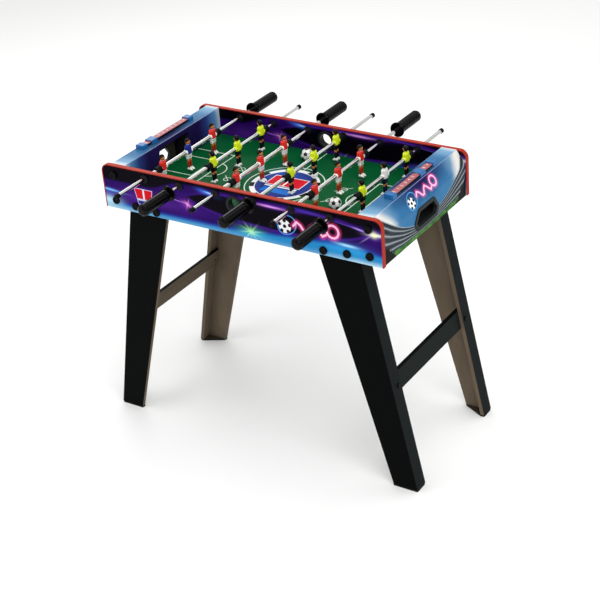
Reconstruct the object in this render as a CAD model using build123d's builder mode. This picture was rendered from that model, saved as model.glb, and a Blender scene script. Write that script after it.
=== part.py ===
from build123d import *
import os
from math import atan2, degrees

# Football table on four splayed legs. Millimetres, +Z up. The origin is on the floor at the
# centre of the table. X runs from goal to goal and Y across the playing field.

# Cabinet
LENGTH = 690             # over the ends of the side panels
WIDTH = 366              # over the outer faces of the side panels
TOP = 630                # top edge of the side panels
PANEL_HEIGHT = 102
PANEL_T = 9
CORNER_R = 18
BAND_WEB = 1.5           # edge band on the panel's edge
BAND_LIP = 2.2           # how far its lips come in over each face
BAND_LIP_T = 0.6
BAND_PROUD = 0.8         # the outer lip stands proud of the printed face

# Playing field
FIELD_TOP = 565
FIELD_T = 3
FIELD_GROOVE = 3         # depth of the grooves that hold the field's long edges
GOAL_X = 287             # inner face of the goal boards
GOAL_T = 9
GOAL_WIDTH = 110
GOAL_TOP = 618
GOAL_CORNER_R = 12

# End covers
COVER_T = 6
SHELF_OUT = 322          # where the flat shelf folds down
FOLD_R = 3
APRON_X = 342
APRON_TOP = 599
APRON_R = 14

# Serve holes
SERVE_HEIGHT = 598
SERVE_BORE_R = 14.5
SERVE_SLEEVE_R = 16.5
SERVE_FLANGE_R = 20

# Rods
ROD_COUNT = 6
ROD_PITCH = 91.5
ROD_HEIGHT = 614
ROD_R = 4.5
ROD_WALL = 1.0
RUNNING = 0.05           # radial clearance where the rod turns or slides
SEATED = 0.02            # radial clearance of what is fixed to the rod
BUSH_SLEEVE_R = 7
BUSH_FLANGE_R = 9
FLANGE_T = 3
HALF_GAP = 0.1           # the two halves of a bush or ring stop this short of the panel's middle
ROD_SHIFT = (-27, 30, -16, 51, -1, 33)    # middle player's place across the field
BARE_END = 254           # middle player to the end of the rod's cap
HANDLE_START = 250
HANDLE_END = 343
ROD_INTO_HANDLE = 56

# Players
PLAYER_SPACING = 91.5
PLAYER_HALF_WIDTH = 10
BUMPER_GAP = 0.3
BUMPER_R = 8
BUMPER_GROOVE_R = 6.6
BUMPER_STEPS = (0, 4, 5.5, 8.5, 10, 14)    # ends of its rings and grooves

# Balls
BALL_R = 13.5
BALL_GAP = 0.2
BALL_PLACES = ((-21, 125), (163, -60))

# Score counters
RAIL_HALF = 77           # half the clear length between the brackets
RAIL_X = (302, 317)
RAIL_Z = (632.4, 637)
RAIL_TENON = 8           # how far the rail runs into each bracket
BRACKET_LENGTH = 15
BRACKET_X = (299, 320)
BRACKET_TOP = 640
MARKER_PLACES = (-50, 33)     # left and right end
RAIL_EDGE_R = 0.8
MARKER_EDGE_R = 1.6
BRACKET_EDGE_R = 3
MARKER_LENGTH = 20
MARKER_GAP = 0.3
MARKER_WALL = (2.2, 1.8)      # at the sides and top, and below the rail

# Legs
LEG_BOARD = 9
LEG_TOP = 556
LEG_TOP_X = 288          # outer edge where the leg leaves the cabinet
LEG_FOOT_X = 395
LEG_TOP_WIDTH = 99
LEG_FOOT_WIDTH = 57.5
LEG_RETURN = 34          # depth of the leg's end board, over the corner
FOOT_T = 4
FOOT_CORNER_R = 3
BRACE_LOW = 220
BRACE_HIGH = 261
BRACE_BOLT_Y = 151

# Fasteners
LEG_SCREWS = ((208, 539), (263, 543))
END_SCREWS = ((315, 548), (314, 607))
SCREW_R = 2
SCREW_CLEAR = 0.05
SCREW_LENGTH = 22
SCREW_HEAD_R = 4.5
SCREW_HEAD_T = 2
CAP_R = 8.75
CAP_T = 4.5
BOLT_R = 2.5
BOLT_HEAD_R = 5
BOLT_HEAD_T = 3
BOLT_LENGTH = 18

HALF_W = WIDTH / 2
INNER_Y = HALF_W - PANEL_T
PANEL_BOTTOM = TOP - PANEL_HEIGHT
ROD_X = [(n - (ROD_COUNT - 1) / 2) * ROD_PITCH for n in range(ROD_COUNT)]

os.makedirs("parts", exist_ok=True)


def save(piece, node):
    """Label a finished piece and write its STEP file."""
    piece.part.label = node
    export_step(piece.part, f"parts/{node}.step")


def across(y):
    """The vertical plane at this Y. Its sketches are drawn in X and Z and extrude towards -Y."""
    return Plane.XZ.offset(-y)


def along(x):
    """The vertical plane at this X. Its sketches are drawn in Y and Z and extrude towards +X."""
    return Plane.YZ.offset(x)


def save_mirrored(piece, node, plane):
    with BuildPart() as copy:
        mirror(piece.part, about=plane)
    save(copy, node)


# Side panels and their edge bands ------------------------------------------------------------

def panel_outline(inset):
    """Side panel outline drawn in from its top and ends, not from its bottom edge."""
    high = TOP - inset
    with Locations((0, (PANEL_BOTTOM + high) / 2)):
        Rectangle(LENGTH - 2 * inset, high - PANEL_BOTTOM)
    fillet(vertices().group_by(Axis.Y)[-1], CORNER_R - inset)


SCREW_PLACES = [(sign * x, z) for x, z in LEG_SCREWS + END_SCREWS for sign in (-1, 1)]

with BuildPart() as front_side_panel:
    with BuildSketch(across(-INNER_Y)):
        panel_outline(BAND_LIP)
    extrude(amount=PANEL_T)
    with BuildSketch(across(-INNER_Y - BAND_LIP_T)):
        panel_outline(BAND_WEB)
    extrude(amount=PANEL_T - 2 * BAND_LIP_T)
    with BuildSketch(across(-INNER_Y)):
        with Locations([(x, ROD_HEIGHT) for x in ROD_X]):
            Circle(BUSH_SLEEVE_R)
        with Locations((0, SERVE_HEIGHT)):
            Circle(SERVE_SLEEVE_R)
        with Locations(SCREW_PLACES):
            Circle(SCREW_R + SCREW_CLEAR)
    extrude(amount=PANEL_T, mode=Mode.SUBTRACT)
    with Locations((0, -INNER_Y - FIELD_GROOVE / 2, FIELD_TOP - FIELD_T / 2)):
        Box(2 * (GOAL_X + GOAL_T), FIELD_GROOVE, FIELD_T, mode=Mode.SUBTRACT)
save(front_side_panel, "front_side_panel")
save_mirrored(front_side_panel, "back_side_panel", Plane.XZ)

with BuildPart() as front_edge_band:
    with BuildSketch(across(-INNER_Y)):
        panel_outline(0)
    extrude(amount=PANEL_T + BAND_PROUD)
    with BuildSketch(across(-INNER_Y)):
        panel_outline(BAND_LIP)
    extrude(amount=PANEL_T + BAND_PROUD, mode=Mode.SUBTRACT)
    with BuildSketch(across(-INNER_Y - BAND_LIP_T)):
        panel_outline(BAND_WEB)
    extrude(amount=PANEL_T - 2 * BAND_LIP_T, mode=Mode.SUBTRACT)
save(front_edge_band, "front_edge_band")
save_mirrored(front_edge_band, "back_edge_band", Plane.XZ)

# Playing field -------------------------------------------------------------------------------

with BuildPart() as playing_field:
    with Locations((0, 0, FIELD_TOP - FIELD_T / 2)):
        Box(2 * (GOAL_X + GOAL_T), 2 * (INNER_Y + FIELD_GROOVE), FIELD_T)
save(playing_field, "playing_field")

# Goal boards, end covers, ball trays and return bezels ---------------------------------------

with BuildPart() as right_goal_board:
    with BuildSketch(along(GOAL_X)):
        with Locations((0, (FIELD_TOP + TOP - COVER_T) / 2)):
            Rectangle(2 * INNER_Y, TOP - COVER_T - FIELD_TOP)
    extrude(amount=GOAL_T)
    with BuildSketch(along(GOAL_X)):
        with Locations((0, (FIELD_TOP + GOAL_TOP) / 2)):
            Rectangle(GOAL_WIDTH, GOAL_TOP - FIELD_TOP)
        fillet(vertices().group_by(Axis.Y)[-1], GOAL_CORNER_R)
    extrude(amount=GOAL_T, mode=Mode.SUBTRACT)
save(right_goal_board, "right_goal_board")
save_mirrored(right_goal_board, "left_goal_board", Plane.YZ)

RETURN_LOW, RETURN_WIDEST, RETURN_HIGH = 542, 561, 589
RETURN_HALF = (41, 52, 33)          # half widths at those three heights
BEZEL_PROUD = 2
BEZEL_RIM = 6                       # how far the rim covers the cover's opening
BEZEL_WALL = 2
RETURN_CORNER_R = 9


def return_outline(inset):
    """Six-sided outline of the ball return, drawn in from the bezel's outer edge."""
    low, widest, high = RETURN_HALF
    Polygon(
        (-low, RETURN_LOW), (low, RETURN_LOW), (widest, RETURN_WIDEST),
        (high, RETURN_HIGH), (-high, RETURN_HIGH), (-widest, RETURN_WIDEST),
    )
    fillet(vertices(), RETURN_CORNER_R)
    if inset:
        offset(amount=-inset, mode=Mode.REPLACE)


with BuildPart() as right_end_cover:
    with BuildSketch(across(INNER_Y)):
        with BuildLine():
            FilletPolyline(
                (GOAL_X, TOP), (SHELF_OUT, TOP), (APRON_X, APRON_TOP), (APRON_X, PANEL_BOTTOM),
                radius=(FOLD_R, APRON_R),
            )
            offset(amount=COVER_T, side=Side.RIGHT)
        make_face()
    extrude(amount=2 * INNER_Y)
    with BuildSketch(along(APRON_X - COVER_T)):
        return_outline(BEZEL_RIM)
    extrude(amount=COVER_T, mode=Mode.SUBTRACT)
save(right_end_cover, "right_end_cover")
save_mirrored(right_end_cover, "left_end_cover", Plane.YZ)

with BuildPart() as bezel:
    with BuildSketch(along(APRON_X - COVER_T)):
        return_outline(BEZEL_RIM)
    extrude(amount=COVER_T)
    with BuildSketch(along(APRON_X)):
        return_outline(0)
    extrude(amount=BEZEL_PROUD)
    with BuildSketch(along(APRON_X - COVER_T)):
        return_outline(BEZEL_RIM + BEZEL_WALL)
    extrude(amount=COVER_T + BEZEL_PROUD, mode=Mode.SUBTRACT)
with BuildPart() as ball_return_bezels:
    add(bezel.part)
    mirror(bezel.part, about=Plane.YZ)
save(ball_return_bezels, "ball_return_bezels")

TRAY_IN = GOAL_X + GOAL_T
TRAY_OUT = APRON_X - COVER_T
TRAY_FLOOR = (556, 549)             # floor height at the goal and at the return
TRAY_FLOOR_T = 2.5
CHUTE_HALF = 60
CHUTE_WALL = 2.5
CHUTE_TOP = 605
BLOCK_LENGTH = 15                   # end blocks that the cabinet screws bite into
BLOCK_LOW = 533
BLOCK_TOP = 617
BLOCK_GAP = 1
BLOCK_SLOPE_LOW = 593               # where the blocks' tops begin to slope in under the cover
CHUTE_SLOPE_LOW = 589
TIE_THICKNESS = 4                   # board that ties the blocks together under the goal
TIE_TOP = 553

with BuildPart() as right_ball_tray:
    inner_end, outer_end = TRAY_FLOOR
    with BuildSketch(across(CHUTE_HALF + CHUTE_WALL)):
        with BuildLine():
            Polyline(
                (TRAY_IN, inner_end), (TRAY_OUT, outer_end),
                (TRAY_OUT, outer_end - TRAY_FLOOR_T), (TRAY_IN, inner_end - TRAY_FLOOR_T),
                close=True,
            )
        make_face()
    extrude(amount=2 * (CHUTE_HALF + CHUTE_WALL))
    for wall_start in (CHUTE_HALF + CHUTE_WALL, -CHUTE_HALF):
        with BuildSketch(across(wall_start)):
            with BuildLine():
                Polyline(
                    (TRAY_IN, inner_end - TRAY_FLOOR_T), (TRAY_OUT, outer_end - TRAY_FLOOR_T),
                    (TRAY_OUT, CHUTE_SLOPE_LOW), (SHELF_OUT, CHUTE_TOP), (TRAY_IN, CHUTE_TOP),
                    close=True,
                )
            make_face()
        extrude(amount=CHUTE_WALL)
    for block_start in (INNER_Y, -INNER_Y + BLOCK_LENGTH):
        with BuildSketch(across(block_start)):
            with BuildLine():
                Polyline(
                    (TRAY_IN, BLOCK_LOW), (TRAY_OUT - BLOCK_GAP, BLOCK_LOW),
                    (TRAY_OUT - BLOCK_GAP, BLOCK_SLOPE_LOW), (SHELF_OUT - BLOCK_GAP, BLOCK_TOP),
                    (TRAY_IN, BLOCK_TOP), close=True,
                )
            make_face()
        extrude(amount=BLOCK_LENGTH)
    with Locations((TRAY_IN + TIE_THICKNESS / 2, 0, (BLOCK_LOW + TIE_TOP) / 2)):
        Box(TIE_THICKNESS, 2 * INNER_Y, TIE_TOP - BLOCK_LOW)
    with BuildSketch(across(INNER_Y)):
        with Locations(END_SCREWS):
            Circle(SCREW_R + SCREW_CLEAR)
    extrude(amount=BLOCK_LENGTH, mode=Mode.SUBTRACT)
    with BuildSketch(across(-INNER_Y + BLOCK_LENGTH)):
        with Locations(END_SCREWS):
            Circle(SCREW_R + SCREW_CLEAR)
    extrude(amount=BLOCK_LENGTH, mode=Mode.SUBTRACT)
save(right_ball_tray, "right_ball_tray")
save_mirrored(right_ball_tray, "left_ball_tray", Plane.YZ)

# Flanged half-bushes and half-rings pressed in from both faces of each side panel -------------

def half_steps(sleeve, flange):
    """Start, length towards -Y and radius of each step of a pair of halves in the front panel."""
    half = PANEL_T / 2 - HALF_GAP
    return (
        (-INNER_Y + FLANGE_T, FLANGE_T, flange),
        (-INNER_Y, half, sleeve),
        (-HALF_W + half, half, sleeve),
        (-HALF_W, FLANGE_T, flange),
    )


with BuildPart() as rod_bushings:
    for start, length, radius in half_steps(BUSH_SLEEVE_R, BUSH_FLANGE_R):
        with BuildSketch(across(start)):
            with Locations([(x, ROD_HEIGHT) for x in ROD_X]):
                Circle(radius)
                Circle(ROD_R + RUNNING, mode=Mode.SUBTRACT)
        extrude(amount=length)
    mirror(about=Plane.XZ)
save(rod_bushings, "rod_bushings")

with BuildPart() as serve_hole_rings:
    for start, length, radius in half_steps(SERVE_SLEEVE_R, SERVE_FLANGE_R):
        with BuildSketch(across(start)):
            with Locations((0, SERVE_HEIGHT)):
                Circle(radius)
                Circle(SERVE_BORE_R, mode=Mode.SUBTRACT)
        extrude(amount=length)
    mirror(about=Plane.XZ)
save(serve_hole_rings, "serve_hole_rings")

# Score counters ------------------------------------------------------------------------------

def bar_section(x_range, z_range, edge_r=0):
    """Section of a bar that runs along Y over the right-hand shelf, with softened top edges."""
    low_x, high_x = x_range
    low_z, high_z = z_range
    with Locations(((low_x + high_x) / 2, (low_z + high_z) / 2)):
        Rectangle(high_x - low_x, high_z - low_z)
    if edge_r:
        fillet(vertices().group_by(Axis.Y)[-1], edge_r)


def widened(low_high, amount):
    return low_high[0] - amount, low_high[1] + amount


with BuildPart() as score_rails:
    with BuildSketch(across(RAIL_HALF + RAIL_TENON)):
        bar_section(RAIL_X, RAIL_Z, RAIL_EDGE_R)
    extrude(amount=2 * (RAIL_HALF + RAIL_TENON))
    mirror(about=Plane.YZ)
save(score_rails, "score_rails")

with BuildPart() as score_brackets:
    for bracket_start in (RAIL_HALF + BRACKET_LENGTH, -RAIL_HALF):
        with BuildSketch(across(bracket_start)):
            bar_section(BRACKET_X, (TOP, BRACKET_TOP), BRACKET_EDGE_R)
        extrude(amount=BRACKET_LENGTH)
    with BuildSketch(across(RAIL_HALF + RAIL_TENON)):
        bar_section(RAIL_X, RAIL_Z, RAIL_EDGE_R)
    extrude(amount=2 * (RAIL_HALF + RAIL_TENON), mode=Mode.SUBTRACT)
    mirror(about=Plane.YZ)
save(score_brackets, "score_brackets")

SIDE_WALL, LOW_WALL = MARKER_WALL
MARKER_BORE_X = widened(RAIL_X, MARKER_GAP)
MARKER_BORE_Z = widened(RAIL_Z, MARKER_GAP)
MARKER_Z = (MARKER_BORE_Z[0] - LOW_WALL, MARKER_BORE_Z[1] + SIDE_WALL)

for end_name, place in zip(("left", "right"), MARKER_PLACES):
    with BuildPart() as marker:
        with BuildSketch(across(place + MARKER_LENGTH / 2)):
            bar_section(widened(MARKER_BORE_X, SIDE_WALL), MARKER_Z, MARKER_EDGE_R)
        extrude(amount=MARKER_LENGTH)
        with BuildSketch(across(place + MARKER_LENGTH / 2)):
            bar_section(MARKER_BORE_X, MARKER_BORE_Z)
        extrude(amount=MARKER_LENGTH, mode=Mode.SUBTRACT)
    if end_name == "left":
        save_mirrored(marker, "left_score_marker", Plane.YZ)
    else:
        save(marker, "right_score_marker")

# Legs ----------------------------------------------------------------------------------------

LEG_SLOPE = (LEG_FOOT_X - LEG_TOP_X) / PANEL_BOTTOM
INSIDE_SLOPE = LEG_SLOPE + (LEG_TOP_WIDTH - LEG_FOOT_WIDTH) / PANEL_BOTTOM
BOARD_ACROSS = LEG_BOARD * (1 + LEG_SLOPE**2) ** 0.5    # the end board's thickness along X


def corner_x(z):
    """Outer corner of the leg at this height."""
    return LEG_FOOT_X - LEG_SLOPE * z


def inside_x(z):
    """Inner edge of the leg's wide board at this height."""
    return LEG_FOOT_X - LEG_FOOT_WIDTH - INSIDE_SLOPE * z


def bolt_plane(y, z):
    """Plane on the leg's end board with its normal straight out of the board."""
    return Plane(origin=(corner_x(z), y, z), x_dir=(0, 1, 0), z_dir=(1, 0, LEG_SLOPE))


BOLT_Z = (BRACE_LOW + BRACE_HIGH) / 2
BOLT_PLANES = [bolt_plane(y, BOLT_Z) for y in (-BRACE_BOLT_Y, BRACE_BOLT_Y)]

with BuildPart() as front_right_leg:
    with BuildSketch(across(-INNER_Y + LEG_BOARD)):
        with BuildLine():
            Polyline(
                (corner_x(FOOT_T), FOOT_T), (corner_x(LEG_TOP), LEG_TOP),
                (inside_x(LEG_TOP), LEG_TOP), (inside_x(FOOT_T), FOOT_T), close=True,
            )
        make_face()
    extrude(amount=LEG_BOARD)
    with BuildSketch(across(-INNER_Y + LEG_RETURN)):
        with BuildLine():
            Polyline(
                (corner_x(FOOT_T), FOOT_T), (corner_x(LEG_TOP), LEG_TOP),
                (corner_x(LEG_TOP) - BOARD_ACROSS, LEG_TOP),
                (corner_x(FOOT_T) - BOARD_ACROSS, FOOT_T), close=True,
            )
        make_face()
    extrude(amount=LEG_RETURN - LEG_BOARD)
    with BuildSketch(across(-INNER_Y + LEG_BOARD)):
        with Locations(LEG_SCREWS):
            Circle(SCREW_R + SCREW_CLEAR)
    extrude(amount=LEG_BOARD, mode=Mode.SUBTRACT)
    with BuildSketch(BOLT_PLANES[0]):
        Circle(BOLT_R + SCREW_CLEAR)
    extrude(amount=-2 * LEG_BOARD, mode=Mode.SUBTRACT)
save(front_right_leg, "front_right_leg")
save_mirrored(front_right_leg, "front_left_leg", Plane.YZ)

with BuildPart() as back_right_leg:
    mirror(front_right_leg.part, about=Plane.XZ)
save(back_right_leg, "back_right_leg")
save_mirrored(back_right_leg, "back_left_leg", Plane.YZ)

with BuildPart() as leg_feet:
    with BuildSketch():
        with BuildLine():
            corner = corner_x(FOOT_T)
            Polyline(
                (corner, -INNER_Y), (corner, -INNER_Y + LEG_RETURN),
                (corner - BOARD_ACROSS, -INNER_Y + LEG_RETURN),
                (inside_x(FOOT_T), -INNER_Y + LEG_BOARD), (inside_x(FOOT_T), -INNER_Y),
                close=True,
            )
        make_face()
        fillet(vertices().sort_by(Axis.X)[-2:], FOOT_CORNER_R)
    extrude(amount=FOOT_T)
    mirror(about=Plane.XZ)
    mirror(about=Plane.YZ)
save(leg_feet, "leg_feet")

with BuildPart() as right_leg_brace:
    with BuildSketch(across(INNER_Y - LEG_BOARD)):
        with BuildLine():
            Polyline(
                (corner_x(BRACE_LOW) - BOARD_ACROSS, BRACE_LOW),
                (corner_x(BRACE_HIGH) - BOARD_ACROSS, BRACE_HIGH),
                (corner_x(BRACE_HIGH) - 2 * BOARD_ACROSS, BRACE_HIGH),
                (corner_x(BRACE_LOW) - 2 * BOARD_ACROSS, BRACE_LOW), close=True,
            )
        make_face()
    extrude(amount=2 * (INNER_Y - LEG_BOARD))
    for plane in BOLT_PLANES:
        with BuildSketch(plane):
            Circle(BOLT_R + SCREW_CLEAR)
        extrude(amount=-3 * LEG_BOARD, mode=Mode.SUBTRACT)
save(right_leg_brace, "right_leg_brace")
save_mirrored(right_leg_brace, "left_leg_brace", Plane.YZ)

# Fasteners -----------------------------------------------------------------------------------

with BuildPart() as brace_bolts:
    for plane in BOLT_PLANES:
        with BuildSketch(plane):
            Circle(BOLT_HEAD_R)
        extrude(amount=BOLT_HEAD_T)
        with BuildSketch(plane):
            Circle(BOLT_R)
        extrude(amount=-BOLT_LENGTH)
    mirror(about=Plane.YZ)
save(brace_bolts, "brace_bolts")

with BuildPart() as panel_screws:
    with BuildSketch(across(-HALF_W + SCREW_LENGTH)):
        with Locations(SCREW_PLACES):
            Circle(SCREW_R)
    extrude(amount=SCREW_LENGTH)
    with BuildSketch(across(-HALF_W)):
        with Locations(SCREW_PLACES):
            Circle(SCREW_HEAD_R)
    extrude(amount=SCREW_HEAD_T)
    mirror(about=Plane.XZ)
save(panel_screws, "panel_screws")

CAP_POCKET_GAP = 0.3
CAP_EDGE_R = 2
CAP_DIMPLE_R = 4.5
CAP_DIMPLE = 1

with BuildPart() as screw_caps:
    with BuildSketch(across(-HALF_W)):
        with Locations(SCREW_PLACES):
            Circle(CAP_R)
    extrude(amount=CAP_T)
    fillet(edges().filter_by(GeomType.CIRCLE).group_by(Axis.Y)[0], CAP_EDGE_R)
    with BuildSketch(across(-HALF_W - CAP_T + CAP_DIMPLE)):
        with Locations(SCREW_PLACES):
            Circle(CAP_DIMPLE_R)
    extrude(amount=CAP_DIMPLE, mode=Mode.SUBTRACT)
    with BuildSketch(across(-HALF_W)):
        with Locations(SCREW_PLACES):
            Circle(SCREW_HEAD_R + CAP_POCKET_GAP)
    extrude(amount=SCREW_HEAD_T + CAP_POCKET_GAP, mode=Mode.SUBTRACT)
    mirror(about=Plane.XZ)
save(screw_caps, "screw_caps")

# Rods, each with three players, two bumpers, a handle and an end cap ---------------------------

# Player standing on its boots and facing +X, with the rod's axis through the origin along Y.
# Each section is a height, a centre in X and two half widths.
BODY_SECTIONS = (
    (-38, 1, 4.5, 6.5), (-24, 0.5, 4.5, 6.8), (-12, 0, 6, 8), (0, 0, 6.5, 8.4),
    (9, 0, 6.6, 9.6), (13.5, 0, 5, 9), (16.5, 0.5, 2.6, 2.8), (19, 0.8, 2.6, 2.8),
)
HEAD_CENTRE = (0.5, 0, 22.6)
HEAD_R = 7.2
BOOT_SIZE = (14, 6, 6.5)
BOOT_PLACE = (2, 4, -40.25)
BOSS_R = 7

with BuildPart() as player:
    for z, centre_x, half_x, half_y in BODY_SECTIONS:
        with BuildSketch(Plane.XY.offset(z)):
            with Locations((centre_x, 0)):
                Ellipse(half_x, half_y)
    loft(ruled=True)
    with Locations(HEAD_CENTRE):
        Sphere(HEAD_R)
    boot_x, boot_y, boot_z = BOOT_PLACE
    with Locations((boot_x, -boot_y, boot_z), (boot_x, boot_y, boot_z)):
        Box(*BOOT_SIZE)
    with BuildSketch(across(PLAYER_HALF_WIDTH)):
        Circle(BOSS_R)
    extrude(amount=2 * PLAYER_HALF_WIDTH)
    with BuildSketch(across(PLAYER_HALF_WIDTH)):
        Circle(ROD_R + SEATED)
    extrude(amount=2 * PLAYER_HALF_WIDTH, mode=Mode.SUBTRACT)

DISC_R = 17
DISC_T = 4
DISC_EDGE = 1
NECK_R = 8.5
NECK_LENGTH = 6
GRIP_R = 13
GRIP_SHOULDER = 4                   # the plain grip widens from the neck over this length
GRIP_START = HANDLE_START + DISC_T + NECK_LENGTH
END_STEPS = ((7, 0), (3.5, 1.2), (1.2, 3.4), (0, 6.5))    # back from the end, in from the grip
GRIP_END = HANDLE_END - END_STEPS[0][0]
RIB_COUNT = 9
RIB_DEPTH = 1.5
RIB_SHARES = (0.12, 0.62, 0.8)      # of the pitch: top of the rise, end of the land, foot
FLUTE_COUNT = 10
FLUTE_R = 2.6
FLUTE_CENTRE_R = 14.1
FLUTE_MARGIN = 8

CAP_OUTER_R = 5.4
CAP_LENGTH = 10
CAP_END_T = 4
CAP_EDGE = 1.5


def handle_side(n):
    """Handles of the first, third and fifth rods are at the back, the others' at the front."""
    return 1 if n % 2 == 0 else -1


def rod_plane(n):
    """Plane through the rod's axis. Local X runs to the handle and local Y is up."""
    side = handle_side(n)
    return Plane(origin=(ROD_X[n], ROD_SHIFT[n], ROD_HEIGHT), x_dir=(0, side, 0), z_dir=(side, 0, 0))


def rod_axis(n):
    return Axis((ROD_X[n], ROD_SHIFT[n], ROD_HEIGHT), (0, 1, 0))


def tube_section(start, end, outer, inner):
    """Half section of a tube about local X, from start to end along it."""
    with Locations(((start + end) / 2, (inner + outer) / 2)):
        Rectangle(end - start, outer - inner)


def handle_section(ribbed):
    """Half section of a handle: disc, neck and grip, with rings round the grip if ribbed."""
    disc_end = HANDLE_START + DISC_T
    outline = [(HANDLE_START, 0), (HANDLE_START, DISC_R - DISC_EDGE)]
    outline += [(HANDLE_START + DISC_EDGE, DISC_R), (disc_end - DISC_EDGE, DISC_R)]
    outline += [(disc_end, DISC_R - DISC_EDGE), (disc_end, NECK_R), (GRIP_START, NECK_R)]
    if ribbed:
        pitch = (GRIP_END - GRIP_START) / RIB_COUNT
        for rib_start in [GRIP_START + rib * pitch for rib in range(RIB_COUNT)]:
            for share, depth in zip(RIB_SHARES, (0, 0, RIB_DEPTH)):
                outline.append((rib_start + share * pitch, GRIP_R - depth))
    else:
        outline.append((GRIP_START + GRIP_SHOULDER, GRIP_R))
    outline += [(HANDLE_END - back, GRIP_R - inward) for back, inward in END_STEPS]
    Polygon(*outline, (HANDLE_END, 0))


for n in range(ROD_COUNT):
    name = f"rod_{n + 1}"
    facing = 0 if n % 2 == 0 else 180
    shaft_start = -BARE_END + CAP_END_T
    shaft_end = HANDLE_START + ROD_INTO_HANDLE

    with BuildPart() as shaft:
        with BuildSketch(rod_plane(n)):
            tube_section(shaft_start, shaft_end, ROD_R, ROD_R - ROD_WALL)
        revolve(axis=rod_axis(n))
    save(shaft, f"{name}_shaft")

    with BuildPart() as players:
        for row in (-1, 0, 1):
            spot = (ROD_X[n], ROD_SHIFT[n] + row * PLAYER_SPACING, ROD_HEIGHT)
            with Locations(Location(spot, (0, 0, facing))):
                add(player.part)
    save(players, f"{name}_players")

    bumper_start = PLAYER_SPACING + PLAYER_HALF_WIDTH + BUMPER_GAP
    with BuildPart() as bumpers:
        for start in (bumper_start, -bumper_start - BUMPER_STEPS[-1]):
            with BuildSketch(rod_plane(n)):
                for low, high in zip(BUMPER_STEPS, BUMPER_STEPS[1:]):
                    radius = BUMPER_GROOVE_R if low in BUMPER_STEPS[1::2] else BUMPER_R
                    tube_section(start + low, start + high, radius, ROD_R + RUNNING)
            revolve(axis=rod_axis(n))
    save(bumpers, f"{name}_bumpers")

    with BuildPart() as handle:
        with BuildSketch(rod_plane(n)):
            handle_section(ribbed=handle_side(n) > 0)
        revolve(axis=rod_axis(n))
        with BuildSketch(rod_plane(n)):
            tube_section(HANDLE_START, shaft_end, ROD_R + SEATED, 0)
        revolve(axis=rod_axis(n), mode=Mode.SUBTRACT)
        if handle_side(n) < 0:
            flute_start = GRIP_START + FLUTE_MARGIN
            with BuildSketch(across(ROD_SHIFT[n] - flute_start)):
                with Locations((ROD_X[n], ROD_HEIGHT)):
                    with PolarLocations(FLUTE_CENTRE_R, FLUTE_COUNT):
                        Circle(FLUTE_R)
            extrude(amount=GRIP_END - flute_start, mode=Mode.SUBTRACT)
    save(handle, f"{name}_handle")

    with BuildPart() as end_cap:
        with BuildSketch(rod_plane(n)):
            Polygon(
                (-BARE_END, 0), (shaft_start, 0), (shaft_start, ROD_R + SEATED),
                (-BARE_END + CAP_LENGTH, ROD_R + SEATED), (-BARE_END + CAP_LENGTH, CAP_OUTER_R),
                (-BARE_END + CAP_EDGE, CAP_OUTER_R), (-BARE_END, CAP_OUTER_R - CAP_EDGE),
            )
        revolve(axis=rod_axis(n))
    save(end_cap, f"{name}_end_cap")

# Balls ---------------------------------------------------------------------------------------

for ball_number, (ball_x, ball_y) in enumerate(BALL_PLACES, 1):
    with BuildPart() as ball:
        with Locations((ball_x, ball_y, FIELD_TOP + BALL_GAP + BALL_R)):
            Sphere(BALL_R)
    save(ball, f"ball_{ball_number}")

tilt = degrees(atan2(LEG_FOOT_X - LEG_TOP_X, PANEL_BOTTOM))
print(f"legs lean out by {tilt:.1f} degrees; rods at X = {ROD_X}")
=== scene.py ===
from math import copysign, cos, pi, radians, sin

import bmesh
import bpy
from mathutils import Matrix, Vector


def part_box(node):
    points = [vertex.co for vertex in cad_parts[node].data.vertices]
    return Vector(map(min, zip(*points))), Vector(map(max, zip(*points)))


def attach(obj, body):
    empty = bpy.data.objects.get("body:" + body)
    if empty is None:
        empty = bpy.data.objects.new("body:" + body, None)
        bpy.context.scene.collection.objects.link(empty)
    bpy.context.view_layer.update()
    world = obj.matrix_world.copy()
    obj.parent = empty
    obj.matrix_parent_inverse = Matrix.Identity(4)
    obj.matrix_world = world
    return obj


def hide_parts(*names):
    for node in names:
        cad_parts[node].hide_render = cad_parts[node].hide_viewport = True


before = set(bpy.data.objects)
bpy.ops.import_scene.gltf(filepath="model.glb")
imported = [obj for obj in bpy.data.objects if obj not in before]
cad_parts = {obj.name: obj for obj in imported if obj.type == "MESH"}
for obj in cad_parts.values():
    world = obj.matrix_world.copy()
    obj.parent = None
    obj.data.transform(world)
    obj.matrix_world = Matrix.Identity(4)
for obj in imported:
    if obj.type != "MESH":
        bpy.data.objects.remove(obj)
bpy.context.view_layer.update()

# The looks of a football table. Sizes and places are in millimetres in the CAD model's frame;
# MM turns them into metres where a part's mesh is made. The floor, lamps and camera are given in metres.
MM = 0.001

ROD_NUMBERS = range(1, 7)
BALL_NUMBERS = (1, 2)
ENDS = (("left", -1), ("right", 1))
SIDES = (("front", -1), ("back", 1))


def box_mm(node):
    low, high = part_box(node)
    return low / MM, high / MM


FRONT_PANEL = box_mm("front_side_panel")
OUTER_Y = -FRONT_PANEL[0].y           # outer faces of the side panels
INNER_Y = -FRONT_PANEL[1].y           # their inner faces
PANEL_BOTTOM = FRONT_PANEL[0].z
SHAFT = box_mm("rod_1_shaft")
ROD_HEIGHT = (SHAFT[0].z + SHAFT[1].z) / 2
PLAYER_SPACING = 91.5
GOAL_X = box_mm("right_goal_board")[0].x

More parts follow.
